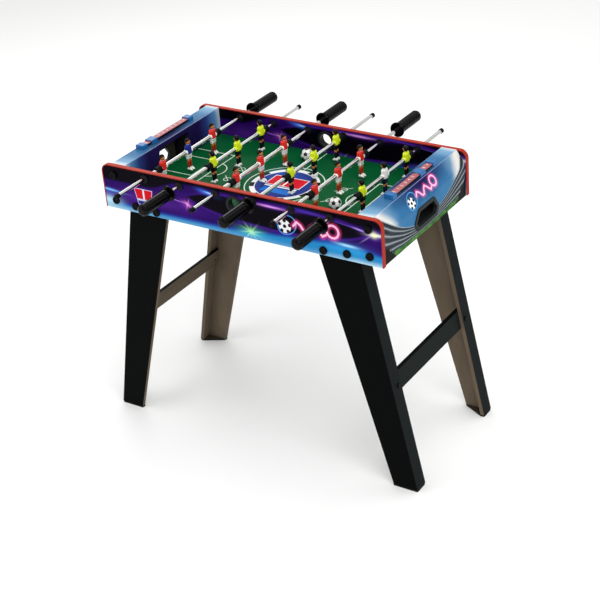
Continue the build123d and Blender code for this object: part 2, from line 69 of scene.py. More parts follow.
# An end cover is a flat shelf out to SHELF_X, then a chamfer, then an upright apron.
END_COVER = box_mm("right_end_cover")
CABINET_TOP = END_COVER[1].z
APRON_X = END_COVER[1].x
SHELF_X = 322.0
CHAMFER_DROP = 31.0
CHAMFER_RUN = APRON_X - SHELF_X
CHAMFER_LENGTH = (CHAMFER_DROP ** 2 + CHAMFER_RUN ** 2) ** 0.5

# The end boards of the legs lean out towards the floor.
LEG = box_mm("front_right_leg")
LEG_BOARD = 9.0
LEG_SPREAD = 107.0
LEG_LEAN = LEG_SPREAD / PANEL_BOTTOM
LEG_FOOT_X = LEG[1].x + LEG[0].z * LEG_LEAN
LEG_SLANT = (1 + LEG_LEAN ** 2) ** 0.5

# Node values ---------------------------------------------------------------------------------


def ink(red, green, blue):
    """Linear RGBA of a colour given as 0 to 255 display values."""
    def linear(level):
        share = level / 255
        return share / 12.92 if share <= 0.04045 else ((share + 0.055) / 1.055) ** 2.4
    return linear(red), linear(green), linear(blue), 1.0


class Value:
    """A number that varies over a surface. Arithmetic on it adds Math nodes. Edges are in the
    value's own units, and soft is the width of the change across an edge."""

    def __init__(self, tree, socket):
        self.tree = tree
        self.socket = socket

    def math(self, operation, *others):
        node = self.tree.nodes.new("ShaderNodeMath")
        node.operation = operation
        for slot, item in zip(node.inputs, (self, *others)):
            if isinstance(item, Value):
                self.tree.links.new(item.socket, slot)
            else:
                slot.default_value = item
        return Value(self.tree, node.outputs[0])

    def __add__(self, other):
        return self.math("ADD", other)

    def __sub__(self, other):
        return self.math("SUBTRACT", other)

    def __rsub__(self, other):
        return -self + other

    def __mul__(self, other):
        return self.math("MULTIPLY", other)

    def __truediv__(self, other):
        return self.math("DIVIDE", other)

    def __neg__(self):
        return self * -1

    def __abs__(self):
        return self.math("ABSOLUTE")

    def lowest(self, other):
        return self.math("MINIMUM", other)

    def highest(self, other):
        return self.math("MAXIMUM", other)

    def clamped(self):
        return self.highest(0.0).lowest(1.0)

    def rises(self, edge, soft=0.3):
        """0 below the edge and 1 above it, smooth over soft."""
        node = self.tree.nodes.new("ShaderNodeMapRange")
        node.interpolation_type = "SMOOTHSTEP"
        self.tree.links.new(self.socket, node.inputs["Value"])
        node.inputs["From Min"].default_value = edge - soft / 2
        node.inputs["From Max"].default_value = edge + soft / 2
        return Value(self.tree, node.outputs["Result"])

    def falls(self, edge, soft=0.3):
        """1 below the edge and 0 above it."""
        return 1 - self.rises(edge, soft)

    def between(self, low, high, soft=0.3):
        """1 from low to high and 0 outside them."""
        return self.rises(low, soft) * self.falls(high, soft)


def length_of(a, b):
    return (a * a + b * b).math("SQRT")


def bell(value, half_width):
    """1 at zero, falling smoothly to both sides."""
    scaled = value / half_width
    return (-(scaled * scaled)).math("EXPONENT")


def glow(u, v, at, reach):
    """A soft round or oval glow."""
    return bell(u - at[0], reach[0]) * bell(v - at[1], reach[1])


def turned(u, v, at, degrees):
    """u and v about a point, in axes turned by degrees."""
    along, across = cos(radians(degrees)), sin(radians(degrees))
    du, dv = u - at[0], v - at[1]
    return du * along + dv * across, dv * along - du * across


def streak(u, v, at, length, width, degrees):
    """A long thin glow."""
    along, across = turned(u, v, at, degrees)
    return bell(along, length / 2) * bell(across, width / 2)


def starburst(u, v, at, size, rays):
    """A glow with thin rays at the given angles."""
    total = glow(u, v, at, (size * 0.14, size * 0.14))
    for degrees, reach in rays:
        total = total.highest(streak(u, v, at, size * reach, size * 0.09, degrees))
    return total


def disc(u, v, at, radius):
    return length_of(u - at[0], v - at[1]).falls(radius)


def ring(u, v, at, radius, width, soft=0.3):
    return abs(length_of(u - at[0], v - at[1]) - radius).falls(width / 2, soft)


def stroke_distance(u, v, start, end):
    """Distance to a straight pen stroke."""
    run, rise = end[0] - start[0], end[1] - start[1]
    du, dv = u - start[0], v - start[1]
    share = ((du * run + dv * rise) / (run * run + rise * rise)).clamped()
    return length_of(du - share * run, dv - share * rise)


def pen(u, v, points, width, soft=0.4):
    """A pen line through the points."""
    nearest = stroke_distance(u, v, points[0], points[1])
    for start, end in zip(points[1:], points[2:]):
        nearest = nearest.lowest(stroke_distance(u, v, start, end))
    return nearest.falls(width / 2, soft)


def frame_lines(u, v, low, high, width):
    """The outline of a rectangle."""
    middle = [(a + b) / 2 for a, b in zip(low, high)]
    half = [(b - a) / 2 for a, b in zip(low, high)]
    reach = (abs(u - middle[0]) - half[0]).highest(abs(v - middle[1]) - half[1])
    return abs(reach).falls(width / 2)


class Paint:
    """A material built up in layers of ink. Its x, y and z are millimetres in the object."""

    def __init__(self, name, gloss=0.5, roughness=0.4, metallic=0.0):
        self.material = bpy.data.materials.new(name)
        self.material.use_nodes = True
        self.tree = self.material.node_tree
        self.shader = self.tree.nodes["Principled BSDF"]
        self.shader.inputs["Specular IOR Level"].default_value = gloss
        self.shader.inputs["Roughness"].default_value = roughness
        self.shader.inputs["Metallic"].default_value = metallic
        coordinates = self.tree.nodes.new("ShaderNodeTexCoord")
        scaled = self.tree.nodes.new("ShaderNodeVectorMath")
        scaled.operation = "SCALE"
        scaled.inputs["Scale"].default_value = 1 / MM
        self.tree.links.new(coordinates.outputs["Object"], scaled.inputs[0])
        self.place = scaled.outputs[0]
        split = self.tree.nodes.new("ShaderNodeSeparateXYZ")
        self.tree.links.new(self.place, split.inputs[0])
        self.x, self.y, self.z = [Value(self.tree, out) for out in split.outputs]
        self.colour = None

    def ground(self, colour):
        node = self.tree.nodes.new("ShaderNodeRGB")
        node.outputs[0].default_value = colour
        self.colour = node.outputs[0]

    def layer(self, mask, colour, mode="MIX"):
        """Lay a colour over what is there, where the mask is 1."""
        node = self.tree.nodes.new("ShaderNodeMix")
        node.data_type = "RGBA"
        node.blend_type = mode
        if isinstance(mask, Value):
            self.tree.links.new(mask.socket, node.inputs[0])
        else:
            node.inputs[0].default_value = mask
        self.tree.links.new(self.colour, node.inputs[6])
        node.inputs[7].default_value = colour
        self.colour = node.outputs[2]

    def light(self, mask, colour):
        """Brighten what is there with a colour, where the mask is 1."""
        self.layer(mask, colour, "SCREEN")

    def choose(self, mask, other):
        """Keep what is there where the mask is 1 and take the other colour where it is 0."""
        node = self.tree.nodes.new("ShaderNodeMix")
        node.data_type = "RGBA"
        self.tree.links.new(mask.socket, node.inputs[0])
        self.tree.links.new(other, node.inputs[6])
        self.tree.links.new(self.colour, node.inputs[7])
        self.colour = node.outputs[2]

    def noise(self, size, detail=2.0, stretch=(1, 1, 1)):
        """Cloudy noise about 0 to 1, with features of that many millimetres."""
        stretched = self.tree.nodes.new("ShaderNodeVectorMath")
        stretched.operation = "MULTIPLY"
        stretched.inputs[1].default_value = stretch
        self.tree.links.new(self.place, stretched.inputs[0])
        node = self.tree.nodes.new("ShaderNodeTexNoise")
        node.inputs["Scale"].default_value = 1 / size
        node.inputs["Detail"].default_value = detail
        self.tree.links.new(stretched.outputs[0], node.inputs["Vector"])
        return Value(self.tree, node.outputs[0])

    def vary_roughness(self, low, high, value):
        """Roughness between low and high as the value goes from 0 to 1."""
        rough = value.clamped() * (high - low) + low
        self.tree.links.new(rough.socket, self.shader.inputs["Roughness"])

    def bump(self, height, depth_mm):
        """Relief of that many millimetres as the height goes from 0 to 1."""
        node = self.tree.nodes.new("ShaderNodeBump")
        node.inputs["Strength"].default_value = 1.0
        node.inputs["Distance"].default_value = depth_mm * MM
        self.tree.links.new(height.socket, node.inputs["Height"])
        self.tree.links.new(node.outputs[0], self.shader.inputs["Normal"])

    def done(self):
        self.tree.links.new(self.colour, self.shader.inputs["Base Color"])
        return self.material


# Plain moulded and metal finishes --------------------------------------------------------------


def plastic(name, colour, worn, rough=(0.3, 0.5), grain=0.6, depth=0.02, gloss=0.5):
    """Moulded plastic: fine grain, faint clouding and paler rubbed patches."""
    paint = Paint(name, gloss)
    paint.ground(colour)
    rubbed = paint.noise(18, detail=4).rises(0.62, 0.25)
    paint.layer(rubbed * 0.5, worn)
    paint.vary_roughness(*rough, paint.noise(9, detail=3))
    paint.bump(paint.noise(grain, detail=3), depth)
    return paint.done()


def chrome():
    """Plated tube: fine drawn lines along it and faint handling marks."""
    paint = Paint("chrome_rod", metallic=1.0)
    paint.ground(ink(228, 229, 226))
    smudge = paint.noise(22, detail=4).rises(0.55, 0.3)
    paint.layer(smudge * 0.3, ink(196, 198, 196))
    paint.vary_roughness(0.04, 0.12, paint.noise(14, detail=4, stretch=(1, 0.3, 1)))
    paint.bump(paint.noise(0.9, detail=1, stretch=(1, 0.02, 1)), 0.0012)
    return paint.done()


def zinc():
    """Dull plated screws."""
    paint = Paint("zinc_screw", metallic=1.0)
    paint.ground(ink(150, 152, 156))
    paint.layer(paint.noise(2.5, detail=4).rises(0.5, 0.3) * 0.6, ink(108, 112, 118))
    paint.vary_roughness(0.25, 0.5, paint.noise(1.5))
    paint.bump(paint.noise(0.4), 0.02)
    return paint.done()


def edge_band_paint():
    """Red-orange edging strip with a slightly pebbled face and a painted highlight along its top."""
    paint = Paint("red_edge_band", gloss=0.08)
    paint.ground(ink(166, 46, 30))
    paint.layer(paint.noise(30, detail=4).rises(0.5, 0.4) * 0.5, ink(154, 40, 27))
    top_corner = 1.2
    # Painted highlight: a paler red over the top edge, broken up by noise.
    top = paint.z.rises(CABINET_TOP - top_corner, top_corner)
    paint.layer(top * paint.noise(5, detail=4).rises(0.45, 0.3) * 0.3, ink(184, 64, 42))
    paint.vary_roughness(0.32, 0.52, paint.noise(6, detail=3))
    paint.bump(paint.noise(0.7, detail=2), 0.03)
    return paint.done()


def depth_behind_end(paint, side_x):
    """Distance in from the leaning outer face of a leg's end board."""
    return (LEG_FOOT_X - paint.x * side_x - paint.z * LEG_LEAN) / LEG_SLANT


FILM_EDGE, FILM_SOFT = 0.4, 0.3       # the black film ends this far round a board's edge


def leg_paint(name, side_x, side_y):
    """Black film on the outer faces of a leg, with painted light making it charcoal on the end board, and
    brown board on its inner faces and cut edges.
    """
    paint = Paint(name, gloss=0.02)
    side_face = (INNER_Y - paint.y * side_y).falls(FILM_EDGE, FILM_SOFT)
    end_face = depth_behind_end(paint, side_x).falls(FILM_EDGE, FILM_SOFT)
    film = side_face.highest(end_face)
    board = paint.noise(26, detail=5, stretch=(1, 1, 0.35))
    paint.ground(ink(106, 93, 79))
    paint.layer(board.rises(0.5, 0.5) * 0.6, ink(92, 81, 68))
    paint.layer(paint.noise(1.6, detail=3).rises(0.62, 0.2) * 0.35, ink(122, 108, 90))
    paint.layer(film, ink(6, 7, 7))
    scuffs = paint.noise(7, detail=6, stretch=(1, 1, 0.4)).rises(0.7, 0.1)
    low_on_leg = paint.z.falls(110, 160)
    paint.layer(film * scuffs * low_on_leg * 0.4, ink(40, 39, 37))
    # Painted light: the end board's outer face takes a charcoal grey over the black film, a lit copy of
    # the same film.
    paint.layer(end_face * 0.8, ink(27, 31, 32))
    paint.vary_roughness(0.34, 0.55, paint.noise(12, detail=4))
    paint.bump(paint.noise(1.2, detail=4, stretch=(1, 1, 0.25)), 0.03)
    return paint.done()


def brace_paint(name, side_x):
    """A leg's board, with a black film outside and on top; painted light makes the outside film charcoal,
    like the legs' end boards. The brace lies behind the end boards.
    """
    paint = Paint(name, gloss=0.02)
    film = depth_behind_end(paint, side_x).falls(LEG_BOARD + FILM_EDGE, FILM_SOFT)
    paint.ground(ink(96, 85, 71))
    paint.layer(paint.noise(20, detail=5, stretch=(1, 0.3, 1)).rises(0.5, 0.5) * 0.6, ink(84, 74, 61))
    # Painted light: the outside film is charcoal grey, a lit copy of the black film on top.
    paint.layer(film, ink(28, 33, 32))
    top_edge = paint.z.rises(box_mm("right_leg_brace")[1].z - FILM_EDGE, FILM_SOFT)
    paint.layer(top_edge, ink(8, 9, 9))
    paint.vary_roughness(0.36, 0.55, paint.noise(10, detail=4))
    paint.bump(paint.noise(1.2, detail=4, stretch=(1, 0.25, 1)), 0.03)
    return paint.done()


# Printed boards -----------------------------------------------------------------------------

NIGHT = ink(6, 2, 12)
VIOLET = ink(46, 10, 104)
DEEP_BLUE = ink(34, 50, 150)
SKY = ink(38, 134, 194)
ICE = ink(200, 234, 243)
NEON_PINK = ink(250, 70, 150)
PALE_PINK = ink(255, 190, 225)


def football_badge(paint, u, v, at, radius):
    """A small printed football in a pale blue orbit."""
    black = ink(14, 14, 18)
    patch_radius = radius * 0.27
    ball = disc(u, v, at, radius)
    orbit_u, orbit_v = turned(u, v, (at[0] + radius * 0.35, at[1] + radius * 0.25), 40)
    orbit = ring(orbit_u / 1.25, orbit_v, (0, 0), radius * 1.3, radius * 0.13, 1.0)
    paint.light(orbit, ink(70, 150, 225))
    paint.layer(ball, ink(236, 238, 240))
    paint.layer(disc(u, v, at, patch_radius), black)
    for turn in range(5):
        angle = radians(90 + 72 * turn)
        spot = (at[0] + radius * 0.85 * cos(angle), at[1] + radius * 0.85 * sin(angle))
        paint.layer(disc(u, v, spot, patch_radius) * ball, black)


def squiggle(paint, u, v, at, length, height):
    """A generic neon wave that ends in a loop. It spells nothing."""
    left, middle = at[0] - length / 2, at[1]
    steps, periods, wave_length, wave_height = 9, 1.92, length * 0.68, height * 0.22
    wave = [
        (left + wave_length * k / steps, middle + wave_height * sin(2 * pi * periods * k / steps))
        for k in range(steps + 1)
    ]
    loop_at = (left + length * 0.82, middle + height * 0.12)
    loop_radius = height * 0.3
    strokes = (
        (paint.light, NEON_PINK, 0.7, height * 0.2, height * 0.25),
        (paint.layer, PALE_PINK, 1.0, height * 0.1, 0.8),
    )
    for lay, colour, strength, width, soft in strokes:
        tube = ring(u, v, loop_at, loop_radius, width, soft).highest(pen(u, v, wave, width, soft))
        lay(tube * strength, colour)


def shield(paint, u, v, at):
    """A plain two-part shield in red, white and blue."""
    half_width, half_height, taper, rim, soft = 25, 19, 0.22, 1.5, 0.4
    red_from, blue_below, stripe_half = -5, -9.5, 2.2
    du, dv = u - at[0], v - at[1]
    side = half_width - (half_height - dv) * taper
    inside = (side - abs(du)).rises(0, soft) * dv.between(-half_height, half_height, soft)
    paint.layer(inside, ink(196, 200, 226))
    core_height = half_height - rim
    core = (side - rim - abs(du)).rises(0, soft) * dv.between(-core_height, core_height, soft)
    upper = core * dv.rises(red_from, soft)
    paint.layer(upper, ink(206, 20, 36))
    paint.layer(core * dv.falls(blue_below, soft), ink(34, 44, 132))
    paint.layer(upper * abs(du).falls(stripe_half, soft), ink(225, 228, 236))


def side_panel_night(paint, u, v):
    """Night sky of the side panels: black above, violet, and a blue glow along the bottom."""
    ripple = paint.noise(60, detail=2, stretch=(1, 0, 1.5)) * 6 - 3
    paint.ground(VIOLET)
    paint.layer(paint.noise(45, detail=3, stretch=(0.6, 0, 2.2)).rises(0.5, 0.3) * 0.6, ink(28, 5, 76))
    paint.light(glow(u, v, (-215, 566), (90, 16)) * 0.35, ink(110, 50, 170))
    # Black sky above a line that steps up towards the middle and a little down again.
    night_start, step_up, step_down = 594, 26, 12
    night_from = u.rises(-180, 110) * step_up - u.rises(250, 120) * step_down + night_start
    paint.layer((v - night_from + ripple).rises(0, 9), NIGHT)
    # A long black lens across the middle, with a violet rim.
    lens_at, lens_length, lens_height = (95, 585), 216, 24
    lens_u = (u - lens_at[0]) / lens_length
    lens_v = abs(v - lens_at[1] - abs(u - lens_at[0]) * 0.04) / lens_height
    lens = lens_v + lens_u * lens_u * lens_u * lens_u
    paint.layer(lens.falls(1.0, 0.25), NIGHT)
    paint.light(abs(lens - 1.12).falls(0.1, 0.22) * 0.22 * u.rises(-100, 80), ink(90, 44, 176))
    # Blue below a shore line, paling to ice along the bottom edge.
    shore_start, hump, climb, dip = 541, 16, 20, 7
    shore = bell(u + 345, 42) * hump + u.rises(95, 350) * climb - u.rises(315, 60) * dip + shore_start
    above = v - shore + ripple * 0.5
    paint.layer(above.falls(2, 9), DEEP_BLUE)
    paint.layer(above.falls(-4, 11), SKY)
    ends = abs(u + 20).rises(255, 170)
    paint.layer(v.falls(532, 20) * (ends * 0.8 + 0.2), ICE)
    paint.light(glow(u, v, (-338, 545), (30, 11)) * 0.8, ICE)


# Lights in the night sky. Places are u and v in millimetres, and tilts are in degrees.
STREAKS = (
    # place, length, width, tilt, strength, colour
    ((-332, 571), 62, 5, -4, 1.0, (110, 190, 245)),
    ((-336, 566), 50, 16, -4, 0.5, (40, 90, 190)),
    ((-70, 612), 40, 9, -10, 0.9, (40, 110, 230)),
    ((-62, 612), 20, 3, -8, 1.0, (150, 210, 255)),
    ((-148, 579), 60, 2.6, -7, 0.8, (170, 110, 225)),
    ((84, 611), 66, 4.5, -1, 1.0, (226, 150, 240)),
    ((88, 611), 96, 12, -1, 0.35, (80, 30, 150)),
    ((168, 617), 64, 7, -3, 0.35, (60, 60, 190)),
    ((262, 606), 110, 2.4, -7, 0.5, (110, 80, 210)),
    ((294, 602), 26, 3.5, -9, 0.8, (190, 160, 250)),
    ((264, 561), 46, 6, -2, 1.0, (160, 222, 250)),
    ((330, 597), 34, 6.5, 3, 1.0, (250, 250, 190)),
    ((311, 587), 34, 3, 38, 0.4, (190, 170, 230)),
)
GLOWS = (
    # place, reach along and up, strength, colour
    ((-122, 575), (13, 9), 0.6, (150, 60, 180)),
    ((35, 544), (30, 9), 0.7, (50, 190, 120)),
    ((262, 554), (48, 12), 0.5, (40, 130, 220)),
    ((330, 597), (24, 9), 0.5, (110, 60, 190)),
    ((326, 597), (6.5, 6), 1.0, (240, 250, 120)),
)
STARS = (
    # place, size, strength, colour, then each ray's tilt and its length in sizes
    ((-122, 575), 26, 0.85, (255, 160, 205), ((-25, 0.9), (70, 0.7), (130, 0.6))),
    ((35, 544), 40, 0.9, (180, 235, 90), ((8, 1.0), (48, 0.75), (88, 0.45), (130, 0.75), (160, 0.85))),
)


def side_panel_flares(paint, u, v):
    """Coloured flares over the night sky."""
    for at, length, width, tilt, strength, colour in STREAKS:
        paint.light(streak(u, v, at, length, width, tilt) * strength, ink(*colour))
    for at, reach, strength, colour in GLOWS:
        paint.light(glow(u, v, at, reach) * strength, ink(*colour))
    for at, size, strength, colour, rays in STARS:
        paint.light(starburst(u, v, at, size, rays) * strength, ink(*colour))


def side_panel_print(paint, u, v, outer):
    """Print of a side panel, u along it and v up it. The badges are on outer faces only."""
    side_panel_night(paint, u, v)
    side_panel_flares(paint, u, v)
    plain = paint.colour
    shield(paint, u, v, (-238, 569))
    football_badge(paint, u, v, (119, 574), 15)
    squiggle(paint, u, v, (196, 579), 112, 46)
    paint.choose(outer, plain)


def board_edges(paint, printed):
    """Raw charcoal board, where printed is 0."""
    fibre = paint.noise(1.4, detail=3)
    paint.layer(1 - printed, ink(58, 55, 49))
    paint.layer((1 - printed) * fibre.rises(0.55, 0.3) * 0.5, ink(78, 73, 64))


def film_finish(paint):
    """Glossy printed film: faint orange peel and a few hairline scratches."""
    paint.vary_roughness(0.2, 0.36, paint.noise(35, detail=4))
    peel = paint.noise(3.5, detail=2)
    hair = paint.noise(24, detail=6, stretch=(0.25, 1, 3)).rises(0.68, 0.03)
    paint.bump(peel - hair * 0.6, 0.012)


def side_panel_paint(name, side):
    """side is -1 for the front panel and 1 for the back panel."""
    paint = Paint(name, gloss=0.03)
    depth = paint.y * side
    inner = depth.falls((OUTER_Y + INNER_Y) / 2, 0.2)
    facing_front = inner if side > 0 else 1 - inner
    along = paint.x * (facing_front * 2 - 1)
    inner_print_lift, film_t = 9, 0.7
    side_panel_print(paint, along, paint.z - inner * inner_print_lift, 1 - inner)
    printed = depth.falls(INNER_Y + film_t, 0.2) + depth.rises(OUTER_Y - film_t, 0.2)
    board_edges(paint, printed)
    film_finish(paint)
    return paint.done()


CHALK = ink(214, 230, 216)
LINE, THIN_LINE = 2.2, 1.6


def field_lines(paint):
    """Halfway line, both penalty areas with their bulges, and two small marks in each half."""
    x, y = abs(paint.x), paint.y
    past_goal = GOAL_X + 40               # the boxes run on under the goal boards
    area_x, area_half = GOAL_X - 101, 82.5
    goal_area_x, goal_area_half = GOAL_X - 72, 43
    lines = x.falls(LINE / 2)
    lines = lines.highest(frame_lines(x, y, (area_x, -area_half), (past_goal, area_half), LINE))
    goal_area = frame_lines(x, y, (goal_area_x, -goal_area_half), (past_goal, goal_area_half), LINE)
    lines = lines.highest(goal_area)
    bulge, bulge_half = 28, 34.5
    bulge_r = (bulge_half ** 2 + bulge ** 2) / (2 * bulge)
    bulge_x = area_x - bulge + bulge_r
    lines = lines.highest(ring(x, y, (bulge_x, 0), bulge_r, LINE) * x.falls(area_x))
    mark_x, mark_y, mark_r, dash = 130, 28, 8, 14
    for spot_y in (-mark_y, mark_y):
        lines = lines.highest(ring(x, y, (mark_x, spot_y), mark_r, THIN_LINE))
        ends = (mark_x - dash, spot_y - dash), (mark_x + dash, spot_y + dash)
        lines = lines.highest(pen(x, y, ends, THIN_LINE))
    paint.layer(lines, CHALK)


def centre_emblem(paint):
    """A round emblem: a chequered white ring, a blue disc and a plain two-part red panel."""
    x, y = paint.x, paint.y
    white, black = ink(232, 236, 234), ink(12, 14, 16)
    reach = length_of(x, y)
    circle_r, band_r, band_inner, disc_r = 86.5, 76, 66.5, 64.5
    paint.layer(abs(reach - circle_r).falls(1.2), CHALK)
    paint.layer(reach.falls(band_r), white)
    patches, patch_r = 8, 74
    for turn in range(patches):
        degrees = 360 * (turn + 0.5) / patches
        spot = (patch_r * cos(radians(degrees)), patch_r * sin(radians(degrees)))
        along, across = turned(x, y, spot, degrees)
        patch = abs(along).falls(8) * abs(across).falls(10)
        paint.layer(patch * reach.between(band_inner, band_r), black)
    paint.layer(reach.falls(disc_r), ink(32, 50, 128))
    paint.light(glow(x, y, (-20, 30), (40, 40)) * 0.25, ink(60, 110, 220))
    half, low, high = 42, -10, 34
    paint.layer(abs(x).falls(half) * y.between(low, high), ink(206, 18, 38))
    paint.layer(frame_lines(x, y, (-half, low), (half, high), 2), white)
    paint.layer(abs(x).falls(2) * y.between(low, high), white)
    paint.layer(abs(x).falls(40) * y.between(-19, -14), white)
    paint.layer(abs(x).falls(36) * y.between(-44, -24) * reach.falls(56), ink(34, 112, 204))


def field_paint():
    """Green playing field with white markings and a plain round emblem at the centre."""
    paint = Paint("field_print", gloss=0.03)
    paint.ground(ink(4, 82, 42))
    paint.layer(paint.noise(4, detail=5).rises(0.5, 0.5) * 0.45, ink(10, 96, 50))
    paint.layer(paint.noise(60, detail=2).rises(0.5, 0.5) * 0.3, ink(2, 66, 32))
    field_lines(paint)
    centre_emblem(paint)
    paint.vary_roughness(0.3, 0.45, paint.noise(30, detail=4))
    paint.bump(paint.noise(1.2, detail=3), 0.01)
    return paint.done()


GOAL_VIOLET = ink(32, 22, 76)
GOAL_BANDS = (
    # from the middle, width of the change, colour
    (112, 50, ink(44, 66, 134)),
    (140, 40, ink(90, 144, 196)),
    (163, 24, ink(206, 226, 238)),
)


def goal_bands(paint, across, where=1.0):
    """Blue and then white towards both sides, as on the goal boards."""
    for edge, soft, colour in GOAL_BANDS:
        paint.layer(across.rises(edge, soft) * where, colour)


def goal_board_paint():
    """White at both sides, blue further in and dark violet round the goal."""
    paint = Paint("goal_board_print", gloss=0.03)
    paint.ground(GOAL_VIOLET)
    paint.layer(paint.noise(40, detail=3).rises(0.5, 0.4) * 0.4, ink(20, 13, 50))
    goal_bands(paint, abs(paint.y + paint.noise(50, detail=2) * 16 - 8))
    film_finish(paint)
    return paint.done()


def stadium_sky(paint, across, far, down):
    """Blue sky with floodlight glow at both sides and violet dusk in the middle."""
    haze = paint.noise(60, detail=2, stretch=(1, 1, 1.6))
    paint.ground(ink(50, 112, 158))
    paint.layer(haze.rises(0.5, 0.4) * 0.3, ink(74, 142, 196))
    paint.layer(bell(across - 10, 104) * down.falls(28, 52), ink(32, 18, 74))
    paint.layer((far + haze * 18).rises(130, 50) * 0.6, ink(136, 172, 194))
    paint.layer((far + down * 0.62 + haze * 20).rises(160, 30) * down.falls(46, 10), ink(224, 222, 216))
    return haze


def grandstands(paint, across, far, z):
    """Curved rows of seats that rise towards both sides. Returns 0 to 1 from their foot to their roof."""
    foot_z, foot_curve, roof_z, roof_curve = 535.5, 0.0003, 553, 0.0026
    low = far * far * foot_curve + foot_z
    reach = far - across.rises(60, 80) * 13
    high = reach * reach * roof_curve + roof_z
    share = (z - low) / (high - low)
    stands = share.between(0.0, 1.0, 0.1)
    paint.layer(stands, ink(88, 98, 106))
    row_count = 4.5
    rows = (share * (2 * pi * row_count) + paint.noise(70, detail=1) * 2).math("SINE")
    paint.layer(stands * rows.rises(-0.1, 0.9) * 0.9, ink(18, 30, 36))
    paint.layer(stands * rows.falls(-0.9, 0.12) * 0.6, ink(190, 198, 202))
    seats = paint.noise(1.6, detail=3, stretch=(1, 0.6, 2.2))
    paint.layer(stands * seats.rises(0.62, 0.1) * 0.3, ink(150, 160, 166))
    lamps = (paint.y * 1.3).math("SINE").rises(0.3, 0.6)
    paint.layer(share.between(0.97, 1.03, 0.04) * lamps * 0.55, ink(214, 226, 230))
    return share


def grass_strip(paint, far, z, share):
    """Mown grass below the stands, with black tufts along the bottom and up both sides."""
    grass = share.falls(0.0, 0.06)
    paint.layer(grass, ink(44, 96, 34))
    mow = paint.noise(7, detail=4, stretch=(1, 0.3, 1))
    paint.layer(grass * mow.rises(0.5, 0.2) * 0.7, ink(92, 150, 62))
    paint.layer(grass * z.falls(528.5, 3), ink(16, 26, 14))
    tufts = (paint.noise(4.5, detail=4, stretch=(0, 1, 0)) - 0.5) * 46
    side_climb, black_below = 0.95, 409
    paint.layer((far * side_climb + black_below - z + tufts).rises(0, 1.5), ink(5, 5, 7))


def shelf_top(paint, across, far, haze, length, drop):
    """The flat top: paler sky towards both sides, and a painted highlight along the fold."""
    shelf = length.falls(SHELF_X - 0.4) * drop.falls(1.2, 0.5)
    paint.layer(shelf, ink(62, 116, 158))
    paint.layer(shelf * bell(across, 86) * 0.9, ink(30, 20, 70))
    paint.layer(shelf * (far + haze * 20).rises(150, 40), ink(116, 158, 188))
    paint.layer(shelf * (far + haze * 20).rises(176, 20), ink(206, 214, 218))
    # Painted highlight: a pale line along the fold between the shelf and the chamfer.
    fold = abs(length - SHELF_X).falls(0.35) * drop.falls(1.6, 0.5)
    paint.layer(fold * 0.75, ink(170, 176, 214))


def shelf_edge(paint, far, drop):
    """The end cover's edge over the goal, in the goal board's colours under a painted highlight along its
    top.
    """
    edge = abs(paint.x).falls(GOAL_X + 0.3, 0.2)
    paint.layer(edge, GOAL_VIOLET)
    goal_bands(paint, far, edge)
    # Painted highlight: a pale line along the top of the edge.
    paint.layer(edge * drop.falls(1.1, 0.3) * 0.8, ink(176, 188, 222))
    return edge


def end_cover_paint():
    """Stadium print: sky above, grey stands below and a strip of grass along the bottom."""
    paint = Paint("end_cover_print", gloss=0.03)
    across, far, length, z = paint.y * paint.x.math("SIGN"), abs(paint.y), abs(paint.x), paint.z
    drop = CABINET_TOP - z
    chamfer_stretch = 0.19
    down = drop + drop.lowest(CHAMFER_DROP) * chamfer_stretch      # down the print, along its slope
    haze = stadium_sky(paint, across, far, down)
    share = grandstands(paint, across, far, z)
    grass_strip(paint, far, z, share)
    football_badge(paint, across, -down, (-49, -27), 12)
    squiggle(paint, across, -down, (20, -22), 88, 36)
    shelf_top(paint, across, far, haze, length, drop)
    outside = shelf_edge(paint, far, drop)
    chamfer_depth = ((SHELF_X - length) * CHAMFER_DROP + drop * CHAMFER_RUN) / CHAMFER_LENGTH
    skin = drop.lowest(APRON_X - length).lowest(chamfer_depth)
    within = 1 - (1 - outside) * skin.rises(0.6, 0.2)
    hidden = far.rises(INNER_Y - 0.2, 0.1)
    board_edges(paint, within * (1 - hidden))
    film_finish(paint)
    return paint.done()


# Meshes -------------------------------------------------------------------------------------


def placed(name, data):
    """A new object in the scene that holds a mesh, text, lamp or camera."""
    holder = bpy.data.objects.new(name, data)
    bpy.context.scene.collection.objects.link(holder)
    return holder


def finished(name, work, materials):
    """A smooth mesh object from a bmesh in metres, with its faces turned outward."""
    bmesh.ops.recalc_face_normals(work, faces=work.faces)
    mesh = bpy.data.meshes.new(name)
    work.to_mesh(mesh)
    work.free()
    for material in materials:
        mesh.materials.append(material)
    mesh.polygons.foreach_set("use_smooth", [True] * len(mesh.polygons))
    return placed(name, mesh)


